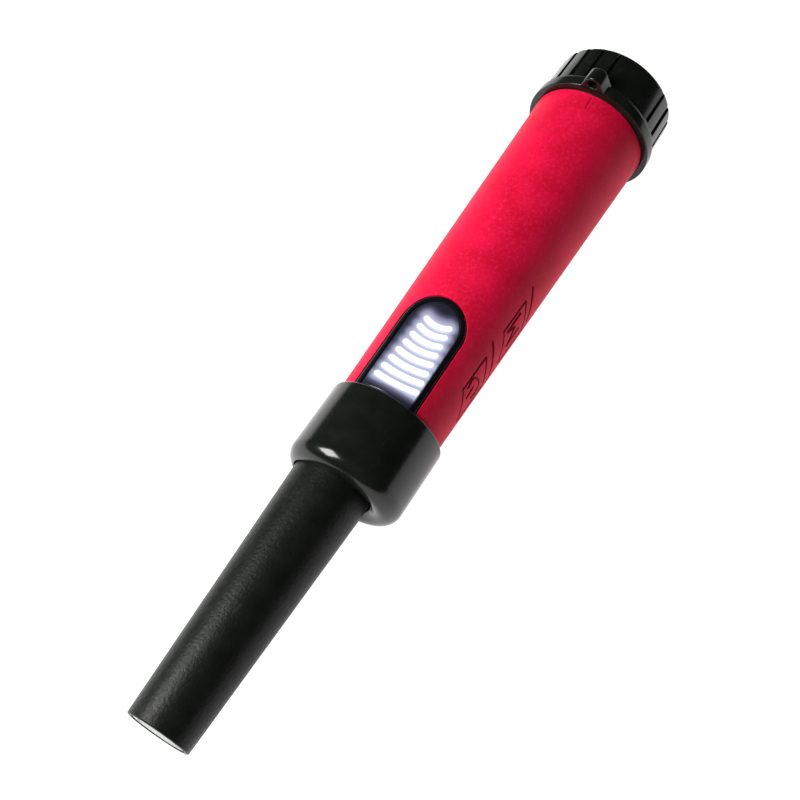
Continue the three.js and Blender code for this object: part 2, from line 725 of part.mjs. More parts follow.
function batteryCap() {
  const rounding = 1.5;
  const body = revolve([
    [CAP_FRONT, CAP_MOUTH_R],
    [CAP_FRONT, FLANGE_R - 0.3],
    [CAP_FRONT + 0.3, FLANGE_R],
    [219.6, FLANGE_R],
    [220.9, CAP_R],
    ...arc(LENGTH - rounding, CAP_REAR_R - rounding, rounding, 90, 0, 3),
    [LENGTH, 0],
    [CAP_FLOOR, 0],
    [CAP_FLOOR, CAP_BORE_R],
    [CAP_MOUTH_END, CAP_BORE_R],
    [CAP_MOUTH_END, CAP_MOUTH_R],
  ]);
  const lugHole = disc(CAP_FRONT - 1, CAP_FRONT + 6, LUG_HOLE_R, 16).translate(0, 0, LUG_HOLE_HEIGHT);
  const ridgeStart = NECK_THREAD_START + THREAD_PITCH / 2;
  const ridge = threadRidge(ridgeStart, CAP_BORE_R + 0.3, CAP_BORE_R - 0.7);
  return cut(join(body, ridge, lanyardLug()), lugHole, ...capGrooves());
}

/** A round seal in the cap's mouth, clear of the neck's thread. */
function sealRing() {
  const section = arc(CAP_FRONT + 1.1, SEAL_R, SEAL_SECTION_R, 0, 315, 7);
  return revolve(section);
}

piece(tool, "battery_cap", batteryCap(), black);
piece(tool, "cap_seal_ring", sealRing(), rubber);
piece(tool, "cap_foam_pad", disc(229.8, CAP_FLOOR - GAP, 12, 16), foam);

export default tool;
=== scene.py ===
"""The looks of a pinpointer probe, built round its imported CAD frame.

Lengths are in millimetres until make() and the camera turn them into metres. The tool lies along X with
its tip at +X. A station is a distance back from the tip, and an angle round the tool is in radians from
+Z towards +Y.
"""

import math

import bmesh
import bpy
import numpy as np
from mathutils import Matrix, Vector
from mathutils.geometry import delaunay_2d_cdt


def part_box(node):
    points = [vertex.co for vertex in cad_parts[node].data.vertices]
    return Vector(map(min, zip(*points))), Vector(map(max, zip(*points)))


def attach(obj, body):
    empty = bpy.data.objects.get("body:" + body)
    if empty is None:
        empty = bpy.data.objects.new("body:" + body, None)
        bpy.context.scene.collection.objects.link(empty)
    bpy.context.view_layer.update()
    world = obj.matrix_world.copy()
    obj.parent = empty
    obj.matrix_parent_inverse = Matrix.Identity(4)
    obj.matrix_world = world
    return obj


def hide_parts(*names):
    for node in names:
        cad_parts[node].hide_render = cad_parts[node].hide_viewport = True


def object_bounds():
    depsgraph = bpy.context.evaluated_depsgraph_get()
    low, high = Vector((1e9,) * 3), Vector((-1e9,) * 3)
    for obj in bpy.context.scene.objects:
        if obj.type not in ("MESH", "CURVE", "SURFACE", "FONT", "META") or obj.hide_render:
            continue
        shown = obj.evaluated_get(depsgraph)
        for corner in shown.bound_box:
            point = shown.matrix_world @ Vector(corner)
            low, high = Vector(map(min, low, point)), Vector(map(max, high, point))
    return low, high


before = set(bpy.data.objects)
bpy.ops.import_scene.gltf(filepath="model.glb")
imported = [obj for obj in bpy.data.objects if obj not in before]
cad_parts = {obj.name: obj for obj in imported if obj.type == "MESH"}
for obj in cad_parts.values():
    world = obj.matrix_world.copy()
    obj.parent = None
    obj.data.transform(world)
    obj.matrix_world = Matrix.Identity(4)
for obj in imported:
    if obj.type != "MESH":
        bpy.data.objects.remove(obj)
cad_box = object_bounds()
scene = bpy.context.scene

# ---------------------------------------------------------------- sizes

# Most are the CAD source's. The window's sill and bezel width, the bars' lengths and sags, and the
# rounding of the collar's rear were changed afterwards to match the photo.

TIP_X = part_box("probe_tube")[1].x * 1000
AXIS_Z = (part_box("cap_seal_ring")[0].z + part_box("cap_seal_ring")[1].z) * 500
LENGTH = TIP_X - cad_box[0].x * 1000

TUBE_Y = -2.55
TIP_R, TUBE_ROOT_R, TUBE_TAPER_END, TUBE_END = 9.07, 11.4, 78.4, 84.0
SEAT_R, SEAT_DEPTH, DISC_R, DISC_REAR = 7.9, 2.6, 7.6, 2.3

COLLAR_FRONT, COLLAR_REAR, COLLAR_R = 75.3, 99.8, 17.3
COLLAR_FILLET, COLLAR_DISH, COLLAR_ROUNDING = 4.5, 4.1, 0.6
COLLAR_BORE_R, COLLAR_WALL_END, SHELL_SEAT_R = 14.35, 81.9, 16.05

SHELL_FRONT, SHELL_REAR = 97.3, 216.0
SHELL_FRONT_R, SHELL_REAR_R, SHELL_BORE_R, SHELL_REAR_BORE_R = 15.73, 18.38, 14.2, 16.5
EDGE_LIP, HOLE_LIP, PAD_LIP = 0.12, 0.22, 0.3  # how far the grip's and the pads' edges round over
ENGRAVING_DEPTH = 0.4

WINDOW_HALF, WINDOW_ARCH = 9.75, 124.2
BEZEL_WIDTH, BEZEL_DEPTH, WINDOW_SILL = 1.7, 1.6, 100.3
LENS_RECESS, LENS_THICKNESS = 0.3, 1.0
BAR_COUNT, BAR_PITCH, BAR_FIRST, BAR_HALF_WIDTH = 8, 3.05, 127.6, 0.95
BAR_HALF_LENGTHS, BAR_SAGS = (4.5, 7.1), (0.9, 0.5)
BAR_BOTTOM, BAR_TOP, BAR_CROWN = 11.2, 12.4, 0.45

FACING = math.radians(80)  # the way the buttons face
PADS = {"power": 118.9, "light": 140.3}
PAD_HALF_LENGTH, PAD_HALF_WIDTH, PAD_SLANT, PAD_CHAMFER = 6.8, 4.0, 0.6, 1.1
SKIRT, SKIRT_TOP, SKIRT_BOTTOM, STEM_R, STEM_END = 0.9, 10.8, 9.7, 1.7, 8.3

CAP_FRONT, FLANGE_R, CAP_R, CAP_REAR_R = 216.3, 20.4, 19.4, 19.05
CAP_MOUTH_R, CAP_MOUTH_END, CAP_BORE_R, CAP_FLOOR = 18.4, 218.8, 17.3, 233.0
FLANGE_REAR, CAP_SHOULDER, END_RECESS_R, END_RECESS = 219.6, 220.9, 15.2, 0.15
GROOVE_START, GROOVE_HALF, GROOVE_FLOOR_R = 221.6, 0.8, 18.45
GROOVE_GROUPS, GROOVES_IN_GROUP, FIRST_GROUP, GROOVE_STEP = 3, 5, -29, 16.5  # the last two in degrees
THREAD_START, THREAD_HEIGHT, THREAD_ROOT = 222.1, 0.7, 0.3
SEAL_SIDES = 32  # of the CAD's ring
LUG_R, LUG_CROWN, LUG_FOOT, LUG_LENGTH, LUG_HOLE_R, LUG_HOLE = 3.1, 24.2, 4.2, 5.0, 1.5, 21.7
LUG_FOOT_HEIGHT = 19.2

GAP = 0.3

# ---------------------------------------------------------------- camera

CAMERA_TARGET = (9.95, -0.61, 20.3)
CAMERA_DISTANCE = 329.8
CAMERA_AZIMUTH, CAMERA_ELEVATION, CAMERA_ROLL = 128.39, 60.31, -7.43
CAMERA_LENS, CAMERA_SENSOR, CAMERA_CLIP = 53.99, 36, 0.01


def make_camera():
    """A camera at the photo's viewing angle."""
    azimuth, elevation = math.radians(CAMERA_AZIMUTH), math.radians(CAMERA_ELEVATION)
    level = math.cos(elevation)
    back = Vector((math.sin(azimuth) * level, -math.cos(azimuth) * level, math.sin(elevation)))
    data = bpy.data.cameras.new("camera")
    data.lens, data.sensor_width, data.clip_start = CAMERA_LENS, CAMERA_SENSOR, CAMERA_CLIP
    camera = bpy.data.objects.new("camera", data)
    camera.location = (Vector(CAMERA_TARGET) + CAMERA_DISTANCE * back) / 1000
    turn = (-back).to_track_quat("-Z", "Y").to_matrix() @ Matrix.Rotation(
        math.radians(CAMERA_ROLL), 3, "Z"
    )
    camera.rotation_mode = "QUATERNION"
    camera.rotation_quaternion = turn.to_quaternion()
    scene.collection.objects.link(camera)
    scene.camera = camera


make_camera()

# ---------------------------------------------------------------- materials


def link(material, source, target):
    material.node_tree.links.new(source, target)


def coordinates(material, size, stretch=(1, 1, 1)):
    """Object coordinates, scaled so that a texture's feature is about size millimetres."""
    nodes = material.node_tree.nodes
    where = nodes.new("ShaderNodeTexCoord")
    mapping = nodes.new("ShaderNodeMapping")
    mapping.inputs["Scale"].default_value = [1000 / size * k for k in stretch]
    link(material, where.outputs["Object"], mapping.inputs["Vector"])
    return mapping.outputs["Vector"]


def texture(material, kind, size, stretch=(1, 1, 1), **settings):
    """The grey output of a texture node on object coordinates."""
    node = material.node_tree.nodes.new(kind)
    node_inputs = {"detail": "Detail", "distortion": "Distortion", "roughness": "Roughness"}
    for key, value in settings.items():
        if key in node_inputs:
            node.inputs[node_inputs[key]].default_value = value
        else:
            setattr(node, key, value)
    node.inputs["Scale"].default_value = 1
    link(material, coordinates(material, size, stretch), node.inputs["Vector"])
    return node.outputs["Distance"] if kind == "ShaderNodeTexVoronoi" else node.outputs["Fac"]


def ramp(material, value, stops, interpolation="LINEAR"):
    """A colour ramp with stops [position, colour]."""
    node = material.node_tree.nodes.new("ShaderNodeValToRGB")
    node.color_ramp.interpolation = interpolation
    elements = node.color_ramp.elements
    while len(elements) < len(stops):
        elements.new(0.5)
    for element, (position, colour) in zip(elements, stops):
        element.position = position
        element.color = (*colour, 1)
    link(material, value, node.inputs["Fac"])
    return node.outputs["Color"]


def rescale(material, value, low, high, source=(0.3, 0.7)):
    """A value moved from the range that it comes in to the range from low to high."""
    node = material.node_tree.nodes.new("ShaderNodeMapRange")
    node.inputs["From Min"].default_value, node.inputs["From Max"].default_value = source
    node.inputs["To Min"].default_value, node.inputs["To Max"].default_value = low, high
    link(material, value, node.inputs["Value"])
    return node.outputs["Result"]


def mix(material, share, colour, tone):
    """A colour that turns into one fixed tone by a share."""
    node = material.node_tree.nodes.new("ShaderNodeMix")
    node.data_type = "RGBA"
    factor, first, second = [socket for socket in node.inputs if socket.enabled]
    link(material, share, factor)
    link(material, colour, first)
    second.default_value = (*tone, 1)
    return next(socket for socket in node.outputs if socket.enabled)


def bump(material, height, strength, depth=0.1, under=None):
    """A bump of a depth in millimetres, on top of another bump's normal where there is one."""
    node = material.node_tree.nodes.new("ShaderNodeBump")
    node.inputs["Strength"].default_value = strength
    node.inputs["Distance"].default_value = depth / 1000
    link(material, height, node.inputs["Height"])
    if under is not None:
        link(material, under, node.inputs["Normal"])
    return node.outputs["Normal"]


def attribute(material, name):
    """The value of a mesh's own attribute."""
    node = material.node_tree.nodes.new("ShaderNodeAttribute")
    node.attribute_name = name
    return node.outputs["Fac"]


def new_material(name):
    material = bpy.data.materials.new(name)
    material.use_nodes = True
    return material, material.node_tree.nodes["Principled BSDF"]


def moulded(
    name,
    tones,
    rough,
    grain=0.35,
    grain_bump=0.25,
    metal=0.0,
    kind="ShaderNodeTexNoise",
    size=3.0,
    stretch=(1, 1, 1),
    specular=0.5,
    wear=0.0,
    grain_depth=0.05,
    **settings,
):
    """Two tones, a grain in height and roughness, and where wear is given, streaks of a third tone."""
    material, shader = new_material(name)
    pattern = texture(material, kind, size, stretch, **settings)
    colour = ramp(material, pattern, [(0.3, tones[0]), (0.7, tones[1])])
    fine = texture(material, "ShaderNodeTexNoise", grain, detail=4.0, roughness=0.6)
    roughness = rescale(material, fine, rough[0], rough[1])
    if wear:
        streaks = texture(material, "ShaderNodeTexNoise", 5.0, (0.35, 3, 3), detail=6.0, roughness=0.7)
        marks = rescale(material, streaks, 0.0, wear, source=(0.62, 0.74))
        colour = mix(material, marks, colour, tones[2])
    link(material, colour, shader.inputs["Base Color"])
    link(material, roughness, shader.inputs["Roughness"])
    link(material, bump(material, fine, grain_bump, grain_depth), shader.inputs["Normal"])
    shader.inputs["Metallic"].default_value = metal
    shader.inputs["Specular IOR Level"].default_value = specular
    return material


def soft_touch(name, tones, shade_tone):
    """Soft-touch paint or rubber: two close tones, pale flecks, pebbles, and painted shade in recesses."""
    material, shader = new_material(name)
    broad = texture(material, "ShaderNodeTexNoise", 9.0, detail=3.0)
    colour = ramp(material, broad, [(0.35, tones[0]), (0.65, tones[1])])
    speckle = texture(material, "ShaderNodeTexNoise", 0.9, detail=4.0, roughness=0.75)
    flecks = rescale(material, speckle, 0.0, 0.6, source=(0.5, 0.75))
    colour = mix(material, flecks, colour, tones[2])
    # Painted shade: the colour darkens towards a fixed tone in grooves, in cut walls and along the pads'
    # edges.
    colour = mix(material, attribute(material, "painted_shade"), colour, shade_tone)
    link(material, colour, shader.inputs["Base Color"])
    link(material, rescale(material, speckle, 0.5, 0.66), shader.inputs["Roughness"])
    pebbles = texture(material, "ShaderNodeTexVoronoi", 0.45)
    coarse = bump(material, broad, 0.15, 0.3)
    link(material, bump(material, pebbles, 0.12, 0.05, coarse), shader.inputs["Normal"])
    shader.inputs["Specular IOR Level"].default_value = 0.12
    return material


SMOKE = ((0.004, 0.004, 0.006), (0.006, 0.006, 0.009))


def smoked_sheet_with_painted_glow(name, tint, haze_stops, glow_stops):
    """A smoked sheet, clear over the lights and hazy beyond them, with a painted glow of their light in it.
    """
    material, shader = new_material(name)
    nodes = material.node_tree.nodes
    glow = attribute(material, "glow")
    smoke = texture(material, "ShaderNodeTexNoise", 6.0, detail=2.0)
    clear = nodes.new("ShaderNodeBsdfTransparent")
    for tones, socket in ((tint, clear.inputs["Color"]), (SMOKE, shader.inputs["Base Color"])):
        link(material, ramp(material, smoke, [(0.3, tones[0]), (0.7, tones[1])]), socket)
    # Painted glow: the sheet's light follows the glow attribute and is strongest over the bars.
    link(material, ramp(material, glow, glow_stops), shader.inputs["Emission Color"])
    shader.inputs["Emission Strength"].default_value = 1
    fine = texture(material, "ShaderNodeTexNoise", 1.2, detail=3.0)
    link(material, rescale(material, fine, 0.2, 0.28), shader.inputs["Roughness"])
    shader.inputs["Specular IOR Level"].default_value = 0.3
    # The sheet turns from clear to dark smoke as the painted glow fades.
    both = nodes.new("ShaderNodeMixShader")
    link(material, ramp(material, glow, haze_stops), both.inputs["Fac"])
    link(material, clear.outputs["BSDF"], both.inputs[1])
    link(material, shader.outputs["BSDF"], both.inputs[2])
    link(material, both.outputs["Shader"], nodes["Material Output"].inputs["Surface"])
    return material


def lit(name, base, stops, strength):
    """A lit plastic: its light's colour and strength follow the mesh's own glow attribute. On the bars that
    is their own light; on the plate under them it is a painted glow.
    """
    material, shader = new_material(name)
    glow = attribute(material, "glow")
    fine = texture(material, "ShaderNodeTexNoise", 1.5, detail=2.0)
    link(material, ramp(material, fine, [(0.3, base[0]), (0.7, base[1])]), shader.inputs["Base Color"])
    link(material, ramp(material, glow, stops, "B_SPLINE"), shader.inputs["Emission Color"])
    shader.inputs["Emission Strength"].default_value = strength
    shader.inputs["Roughness"].default_value = 0.45
    return material


# Colours are linear. The third tone is what wears through black, and the flecks in red.
BLACK = ((0.004, 0.0055, 0.004), (0.0075, 0.009, 0.007), (0.05, 0.052, 0.046))
RED = ((0.54, 0.0015, 0.028), (0.66, 0.003, 0.042), (0.82, 0.03, 0.085))
# The painted shade that darkens the grooves and the walls of the cuts.
RED_PAINTED_SHADE = (0.2, 0.0005, 0.008)

FINISHES = {
    "black_plastic": moulded(
        "black_plastic", BLACK, (0.3, 0.44), 0.9, 1.0, size=6, wear=0.35,
        specular=0.12, grain_depth=0.13,
    ),
    "collar_plastic": moulded(
        "collar_plastic", BLACK, (0.12, 0.22), 0.5, 0.1, size=6, wear=0.5,
        specular=0.32,
    ),
    "pale_plastic": moulded("pale_plastic", ((0.26, 0.29, 0.27), (0.34, 0.37, 0.35)), (0.3, 0.45)),
    "ferrite": moulded("ferrite", ((0.02, 0.02, 0.023), (0.05, 0.05, 0.055)), (0.55, 0.8), size=0.4),
    "natural_nylon": moulded("natural_nylon", ((0.7, 0.66, 0.56), (0.78, 0.75, 0.66)), (0.35, 0.5)),
    "copper_wire": moulded(
        "copper_wire", ((0.3, 0.1, 0.03), (0.75, 0.32, 0.14)), (0.25, 0.4), metal=0.9,
        kind="ShaderNodeTexWave", size=0.9, bands_direction="X",
    ),
    "black_rubber": moulded(
        "black_rubber", ((0.012, 0.012, 0.012), (0.02, 0.02, 0.02)), (0.6, 0.8), size=2,
    ),
    "red_soft_touch": soft_touch("red_soft_touch", RED, RED_PAINTED_SHADE),
    "red_rubber": soft_touch("red_rubber", RED, RED_PAINTED_SHADE),
    "gloss_black": moulded(
        "gloss_black", ((0.003, 0.0035, 0.004), (0.005, 0.005, 0.006)), (0.1, 0.18), 1.0, 0.03, size=4,
        specular=0.3,
    ),
    # The lens's painted glow of the bars' light, lavender near them and dark navy away from them.
    "smoked_lens": smoked_sheet_with_painted_glow(
        "smoked_lens", ((0.8, 0.81, 0.88), (0.85, 0.86, 0.92)),
        [(0.0, (0.97, 0.97, 0.97)), (0.35, (0.8, 0.8, 0.8)), (0.9, (0.3, 0.3, 0.3))],
        [
            (0.0, (0.01, 0.011, 0.018)), (0.15, (0.016, 0.017, 0.032)), (0.4, (0.09, 0.09, 0.155)),
            (0.7, (0.38, 0.38, 0.55)), (1.0, (0.85, 0.86, 0.98)),
        ],
    ),
    "light_bar": lit(
        "light_bar", ((0.6, 0.65, 0.7), (0.7, 0.74, 0.8)),
        [(0.0, (0.17, 0.17, 0.22)), (0.2, (0.6, 0.62, 0.66)), (0.5, (0.98, 1.0, 0.93))], 2.6,
    ),
    # The plate under the bars is no lamp: its light is a painted glow round them.
    "led_board": lit(
        "led_board", ((0.004, 0.005, 0.014), (0.006, 0.008, 0.02)),
        [
            (0.0, (0.0, 0.0, 0.0)), (0.2, (0.02, 0.02, 0.045)), (0.6, (0.26, 0.26, 0.42)),
            (1.0, (0.62, 0.64, 0.82)),
        ],
        1.0,
    ),
    "circuit_board": moulded(
        "circuit_board", ((0.004, 0.06, 0.025), (0.02, 0.16, 0.06)), (0.3, 0.45),
        kind="ShaderNodeTexWave", size=4.0, bands_direction="Y", distortion=6.0,
    ),
    "plated_steel": moulded(
        "plated_steel", ((0.5, 0.5, 0.52), (0.7, 0.7, 0.71)), (0.2, 0.35), metal=1.0,
        size=0.8, stretch=(0.2, 2, 2),
    ),
    "inner_plastic": moulded("inner_plastic", ((0.012, 0.013, 0.014), (0.02, 0.021, 0.022)), (0.35, 0.5)),
    "printed_sleeve": moulded(
        "printed_sleeve", ((0.01, 0.02, 0.035), (0.35, 0.3, 0.1)), (0.25, 0.35),
        kind="ShaderNodeTexWave", size=60.0, bands_direction="X",
    ),
    "brass_weight": moulded(
        "brass_weight", ((0.45, 0.3, 0.09), (0.65, 0.47, 0.18)), (0.25, 0.4), metal=1.0, size=0.6,
    ),
    "red_wire": moulded("red_wire", ((0.4, 0.01, 0.01), (0.5, 0.02, 0.02)), (0.35, 0.5)),
    "foam": moulded(
        "foam", ((0.01, 0.01, 0.011), (0.04, 0.04, 0.042)), (0.85, 0.95), 0.6, 1.0,
        kind="ShaderNodeTexVoronoi", size=0.7,
    ),
}

# The finish of each CAD node that no piece replaces.
NODE_FINISHES = {
    "ferrite": ["ferrite_rod"],
    "natural_nylon": ["coil_bobbin", "rod_support", "power_switch_plunger", "light_switch_plunger"],
    "copper_wire": ["transmit_coil", "receive_coil"],
    "black_rubber": ["coil_cable", "collar_gasket", "battery_lead_black"],
    "circuit_board": ["main_board"],
    "plated_steel": [
        "power_switch_body", "light_switch_body", "vibration_motor", "motor_shaft",
        "battery_terminal_positive", "battery_terminal_negative",
        "board_screw_1", "board_screw_2", "board_screw_3", "board_screw_4",
    ],
    "inner_plastic": [
        "inner_housing", "front_bulkhead", "rear_bulkhead", "microcontroller", "amplifier_chip",
        "piezo_buzzer", "snap_connector",
    ],
    "printed_sleeve": ["battery", "capacitor_1", "capacitor_2"],
    "brass_weight": ["eccentric_weight"],
    "red_wire": ["battery_lead_red"],
    "foam": ["cap_foam_pad"],
}

for finish, names in NODE_FINISHES.items():
    for name in names:
        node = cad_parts[name]
        node.data.materials.clear()
        node.data.materials.append(FINISHES[finish])

# ---------------------------------------------------------------- mesh helpers


def place(station, angle, radius, y=0.0):
    """Points at stations, angles and radii, round an axis that is y off the tool's."""
    station, angle, radius = np.broadcast_arrays(np.asarray(station, float), angle, radius)
    return np.stack(
        [TIP_X - station, y + radius * np.sin(angle), AXIS_Z + radius * np.cos(angle)], axis=-1
    )


WELD = 2e-6  # metres
SHARP = math.radians(38)  # edges sharper than this are not shaded smooth


def make(name, parts, finish, body="root", replaces=(), attributes=None):
    """One piece from parts, each of which is (points, faces)."""
    points, faces, start = [], [], 0
    for part_points, part_faces in parts:
        part_points = np.asarray(part_points).reshape(-1, 3)
        points.append(part_points)
        faces += [[start + i for i in face] for face in part_faces]
        start += len(part_points)
    mesh = bpy.data.meshes.new(name)
    mesh.from_pydata((np.concatenate(points) / 1000).tolist(), [], faces)
    for key, values in (attributes or {}).items():
        layer = mesh.attributes.new(key, "FLOAT", "POINT")
        layer.data.foreach_set("value", np.asarray(values, np.float32))
    shape = bmesh.new()
    shape.from_mesh(mesh)
    bmesh.ops.remove_doubles(shape, verts=shape.verts, dist=WELD)
    bmesh.ops.recalc_face_normals(shape, faces=shape.faces)
    shape.to_mesh(mesh)
    shape.free()
    mesh.shade_smooth()
    mesh.set_sharp_from_angle(angle=SHARP)
    mesh.materials.append(FINISHES[finish])
    piece = bpy.data.objects.new(name, mesh)
    scene.collection.objects.link(piece)
    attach(piece, body)
    if replaces:
        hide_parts(*replaces)


def grid_faces(rows, columns, close_rows=False, close_columns=True):
    """Quads of a grid of points, row by row."""
    faces = []
    for i in range(rows if close_rows else rows - 1):
        for j in range(columns if close_columns else columns - 1):
            k, m = (i + 1) % rows, (j + 1) % columns
            faces.append([i * columns + j, i * columns + m, k * columns + m, k * columns + j])
    return faces


def rounded(corners, steps=6):
    """A profile through corners [station, radius, rounding], each rounded by an arc."""
    points = [np.array(c[:2], float) for c in corners]
    out = [points[0]]
    for i in range(1, len(corners) - 1):
        p, radius = points[i], corners[i][2]
        if not radius:
            out.append(p)
            continue
        a = (points[i - 1] - p) / np.linalg.norm(points[i - 1] - p)
        b = (points[i + 1] - p) / np.linalg.norm(points[i + 1] - p)
        half = math.acos(np.clip(a @ b, -1, 1)) / 2
        centre = p + (a + b) / np.linalg.norm(a + b) * radius / math.sin(half)
        u = (p + a * radius / math.tan(half) - centre) / radius
        v = (p + b * radius / math.tan(half) - centre) / radius
        total = math.acos(np.clip(u @ v, -1, 1))
        for k in range(steps + 1):
            t = k / steps
            w = (math.sin((1 - t) * total) * u + math.sin(t * total) * v) / math.sin(total)
            out.append(centre + radius * w)
    return np.array([*out, points[-1]])


def rounded_loop(corners, radius, spacing):
    """A closed outline with rounded corners, and points no further apart than a spacing."""
    wrapped = [corners[-1], *corners, corners[0]]
    path = rounded([[*c, radius] for c in wrapped], 5)[1:-1]
    return spaced(np.array(path), spacing, True)


def spaced(path, spacing, closed=False):
    """A path with points added, so that none are further apart than a spacing."""
    ends = np.roll(path, -1, axis=0) if closed else path[1:]
    out = []
    for a, b in zip(path, ends):
        count = max(1, math.ceil(np.linalg.norm(b - a) / spacing))
        out += [a + (b - a) * k / count for k in range(count)]
    return np.array(out if closed else [*out, path[-1]])


def offset(path, distance, closed=True):
    """A path moved to its left by a distance."""
    if closed:
        along = np.roll(path, -1, axis=0) - np.roll(path, 1, axis=0)
    else:
        along = np.gradient(path, axis=0)
    along /= np.linalg.norm(along, axis=1, keepdims=True)
    return path + distance * np.stack([-along[:, 1], along[:, 0]], axis=1)


def distance_to(points, path, closed=False):
    """How far points are from a path."""
    best = np.full(len(points), 1e9)
    ends = np.roll(path, -1, axis=0) if closed else path[1:]
    for a, b in zip(path, ends):
        d = b - a
        t = np.clip(((points - a) @ d) / max(d @ d, 1e-12), 0, 1)
        best = np.minimum(best, np.linalg.norm(points - a - t[:, None] * d, axis=1))
    return best


def inside(points, loop):
    """Which points a closed outline holds."""
    x, y = points[:, 0], points[:, 1]
    result = np.zeros(len(points), bool)
    for (x0, y0), (x1, y1) in zip(loop, np.roll(loop, -1, axis=0)):
        crosses = (y0 > y) != (y1 > y)
        slope = (x1 - x0) / (y1 - y0) if y1 != y0 else 0.0
        result ^= crosses & (x < slope * (y - y0) + x0)
    return result


def triangulate(loops, seeds, margin=0.02):
    """Triangles inside the first outline and outside the others. The outlines' points come first."""
    keep = inside(seeds, loops[0])
    for loop in loops[1:]:
        keep &= ~inside(seeds, loop)
    for loop in loops:
        keep &= distance_to(seeds, loop, True) > margin
    points = np.concatenate([*loops, seeds[keep]])
    edges, start = [], 0
    for loop in loops:
        edges += [(start + i, start + (i + 1) % len(loop)) for i in range(len(loop))]
        start += len(loop)
    made = delaunay_2d_cdt([Vector(p) for p in points], edges, [], 0, 1e-5)
    origin = [o[0] if o else -1 for o in made[3]]
    faces = np.array([[origin[i] for i in face] for face in made[2]])
    faces = faces[(faces >= 0).all(axis=1)]
    middle = points[faces].mean(axis=1)
    good = inside(middle, loops[0])
    for loop in loops[1:]:
        good &= ~inside(middle, loop)
    return points, faces[good].tolist()


def seeds_between(low, high, spacing):
    """A grid of points, as columns of the two coordinates."""
    first, second = np.meshgrid(
        np.arange(low[0], high[0], spacing[0]), np.arange(low[1], high[1], spacing[1]), indexing="ij"
    )
    return np.stack([first.ravel(), second.ravel()], axis=1)


def either_side(loop, insets):
    """Copies of a closed outline on both sides of it."""
    return [offset(loop, sign * inset) for inset in insets for sign in (-1, 1)]


def lip(distance, radius):
    """How far a rounded edge falls, at a distance from it."""
    d = np.clip(distance, 0, radius)
    return radius - np.sqrt(radius**2 - (radius - d) ** 2)


def engraving(distance, half_width):
    """From 1 in the middle of an engraved line to 0 at its sides."""
    return np.clip(1 - (distance / half_width) ** 2, 0, 1) ** 1.5


ROUND = np.linspace(0, 2 * math.pi, 192, endpoint=False)


def lathe(profile, y=0.0):
    """A surface turned about an axis y off the tool's."""
    points = place(profile[:, :1], ROUND[None, :], profile[:, 1:], y)
    return points.reshape(-1, 3), grid_faces(len(profile), len(ROUND))


# ---------------------------------------------------------------- sensing tube


def tube():
    """The tapered tube, with the disc's seat in its tip."""
    profile = rounded([
        [TUBE_END, 0, 0],
        [TUBE_END, TUBE_ROOT_R, 0],
        [TUBE_TAPER_END, TUBE_ROOT_R, 0],
        [0, TIP_R, 0.5],
        [0, SEAT_R, 0.2],
        [SEAT_DEPTH, SEAT_R, 0],
        [SEAT_DEPTH, 0, 0],
    ])
    make("tube", [lathe(profile, y=TUBE_Y)], "black_plastic", replaces=["probe_tube"])


def tip_disc():
    """The disc in the tip, with a fine ring groove in its face."""
    profile = rounded([
        [DISC_REAR, 0, 0],
        [DISC_REAR, DISC_R, 0],
        [0.25, DISC_R, 0.3],
        [0.2, 6.2, 0.1],
        [0.5, 6.0, 0.1],
        [0.5, 5.6, 0.1],
        [0.2, 5.4, 0.1],
        [0.12, 0, 0],
    ], 4)
    make("tip_disc", [lathe(profile, y=TUBE_Y)], "pale_plastic", replaces=["tip_cap"])


# ---------------------------------------------------------------- collar


def collar():
    """Turned, with a rounded front that dishes in to the tube's hole, which is off its axis."""
    hole_r, edge, crest_r = TUBE_ROOT_R + GAP, 0.35, COLLAR_R - COLLAR_FILLET
    along = TUBE_Y * np.sin(ROUND)
    hole = along + np.sqrt(along**2 - TUBE_Y**2 + hole_r**2)

    def face(r):
        """The station of the rounded front at a radius."""
        reach = np.where(r < crest_r, COLLAR_DISH, COLLAR_FILLET)
        return COLLAR_FRONT + reach - np.sqrt(np.clip(reach**2 - (r - crest_r) ** 2, 0, None))

    rim = face(hole + edge)
    rows = [(np.full_like(hole, COLLAR_WALL_END), hole)]
    for turn in np.radians(np.linspace(0, 90, 6)):
        rows.append((rim + edge * (1 - math.sin(turn)), hole + edge * (1 - math.cos(turn))))
    for turn in np.radians(np.linspace(0, 90, 29)[1:]):
        r = hole + edge + (COLLAR_R - hole - edge) * math.sin(turn)
        rows.append((face(r), r))
    rear = rounded([
        [COLLAR_FRONT + COLLAR_FILLET, COLLAR_R, 0],
        [COLLAR_REAR, COLLAR_R, COLLAR_ROUNDING],
        [COLLAR_REAR, SHELL_SEAT_R, 0.12],
        [SHELL_FRONT - GAP, SHELL_SEAT_R, 0],
        [SHELL_FRONT - GAP, COLLAR_BORE_R, 0],
        [COLLAR_WALL_END, COLLAR_BORE_R, 0],
    ])
    rows += [(np.full_like(hole, s), np.full_like(hole, r)) for s, r in rear]
    points = np.concatenate([place(s, ROUND, r) for s, r in rows])
    part = (points, grid_faces(len(rows), len(ROUND), close_rows=True))
    make("collar_body", [part], "collar_plastic", replaces=["collar"])


# ---------------------------------------------------------------- grip outlines, unrolled

UNROLL_R = 16.5  # an angle is laid flat as an arc of this radius


def shell_radius(station):
    """The grip's outer radius, which grows evenly towards the cap."""
    share = (station - SHELL_FRONT) / (SHELL_REAR - SHELL_FRONT)
    return SHELL_FRONT_R + (SHELL_REAR_R - SHELL_FRONT_R) * share


def unrolled(plan, facing):
    """Outline points [station, width], seen square from a facing angle, laid flat on the grip."""
    angle = facing + np.arcsin(plan[:, 1] / shell_radius(plan[:, 0]))
    return np.stack([plan[:, 0], angle * UNROLL_R], axis=1)


